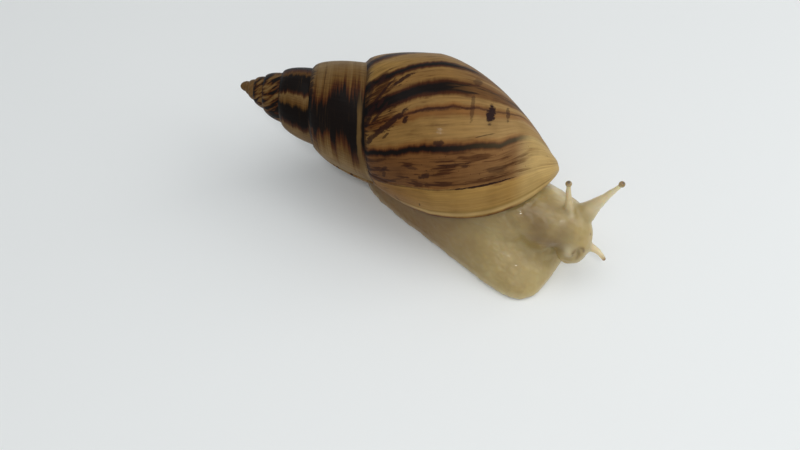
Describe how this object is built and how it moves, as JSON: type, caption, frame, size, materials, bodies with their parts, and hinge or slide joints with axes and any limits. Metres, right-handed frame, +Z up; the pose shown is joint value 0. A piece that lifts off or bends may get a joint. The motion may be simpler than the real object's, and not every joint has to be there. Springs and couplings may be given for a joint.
{
  "type": "giant african land snail",
  "caption": "Life-size land snail at rest on the floor, its long striped spiral shell over a pale foot and head, with two long and two short feelers.",
  "frame": {"origin": "on the floor, in the middle of the flat sole", "axes": "+X the way the snail crawls, +Y its left side, +Z up from the floor"},
  "size_m": [0.1238, 0.0589, 0.0568],
  "materials": {
    "shell": "satin",
    "flesh": "satin",
    "eye": "gloss"
  },
  "bodies": {
    "root": {"shell": "shell", "mantle_collar": "flesh", "tail": "flesh", "foot_rear": "flesh", "foot_middle": "flesh", "foot_front": "flesh", "neck": "flesh", "head": "flesh", "upper_tentacle_right": "flesh", "upper_tentacle_left": "flesh", "lower_tentacle_right": "flesh", "lower_tentacle_left": "flesh", "eye_right": "eye", "eye_left": "eye"}
  },
  "joints": []
}
